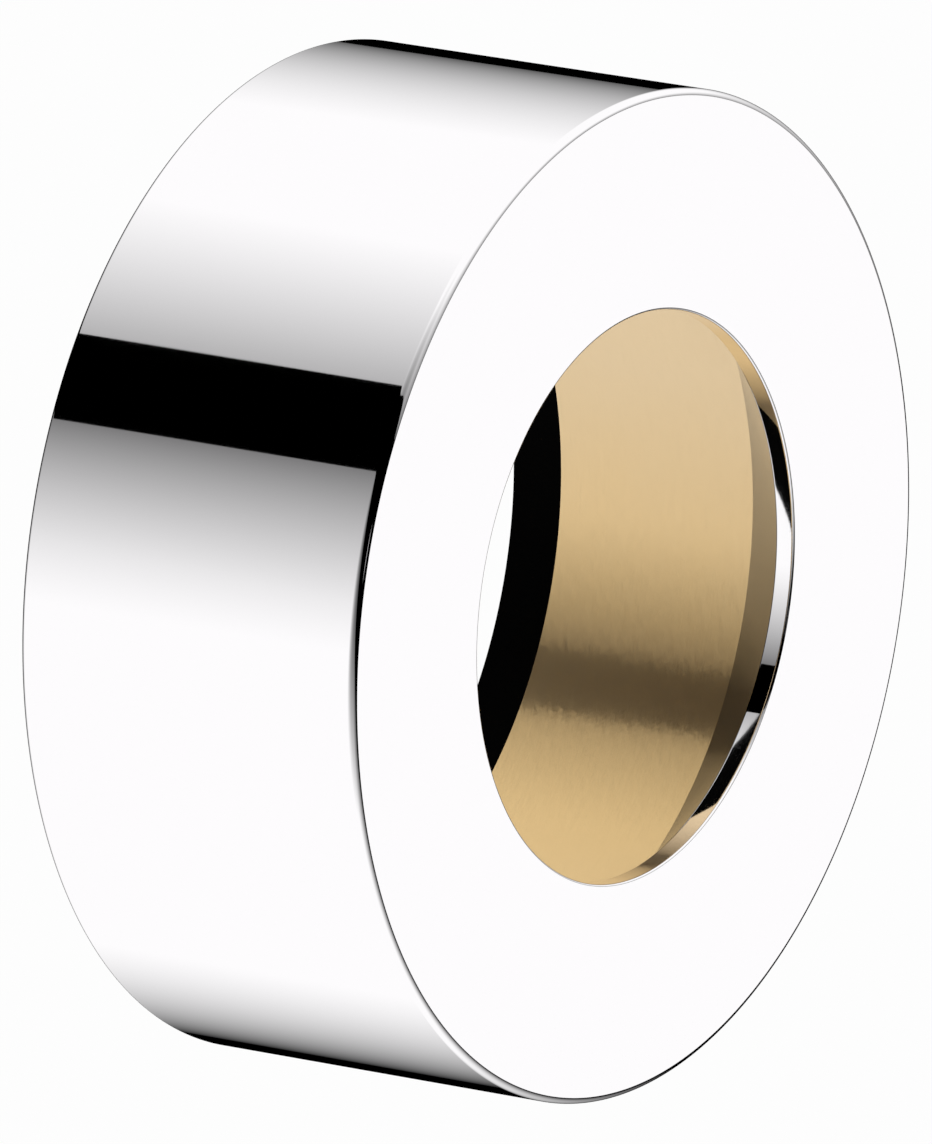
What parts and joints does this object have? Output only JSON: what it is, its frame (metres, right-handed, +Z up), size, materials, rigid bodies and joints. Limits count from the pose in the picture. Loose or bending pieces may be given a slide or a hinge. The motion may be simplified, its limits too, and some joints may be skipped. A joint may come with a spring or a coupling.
{
  "type": "extension escutcheon",
  "caption": "Thick turned brass ring, chrome plated outside, with a rear sealing ring, that covers the gap between the wall and a fitting that stands proud of it.",
  "frame": {"origin": "on the ring's axis, in the wall plane that the sealing ring first touches", "axes": "+Y along the ring's axis, towards the wall; the front face looks towards -Y; +Z up, as it hangs on the wall"},
  "size_m": [0.07, 0.0275, 0.07],
  "materials": {
    "plated_brass": "polished",
    "seal_rubber": "matte"
  },
  "bodies": {
    "root": {"escutcheon_body": "plated_brass", "wall_seal": "seal_rubber"}
  },
  "joints": []
}
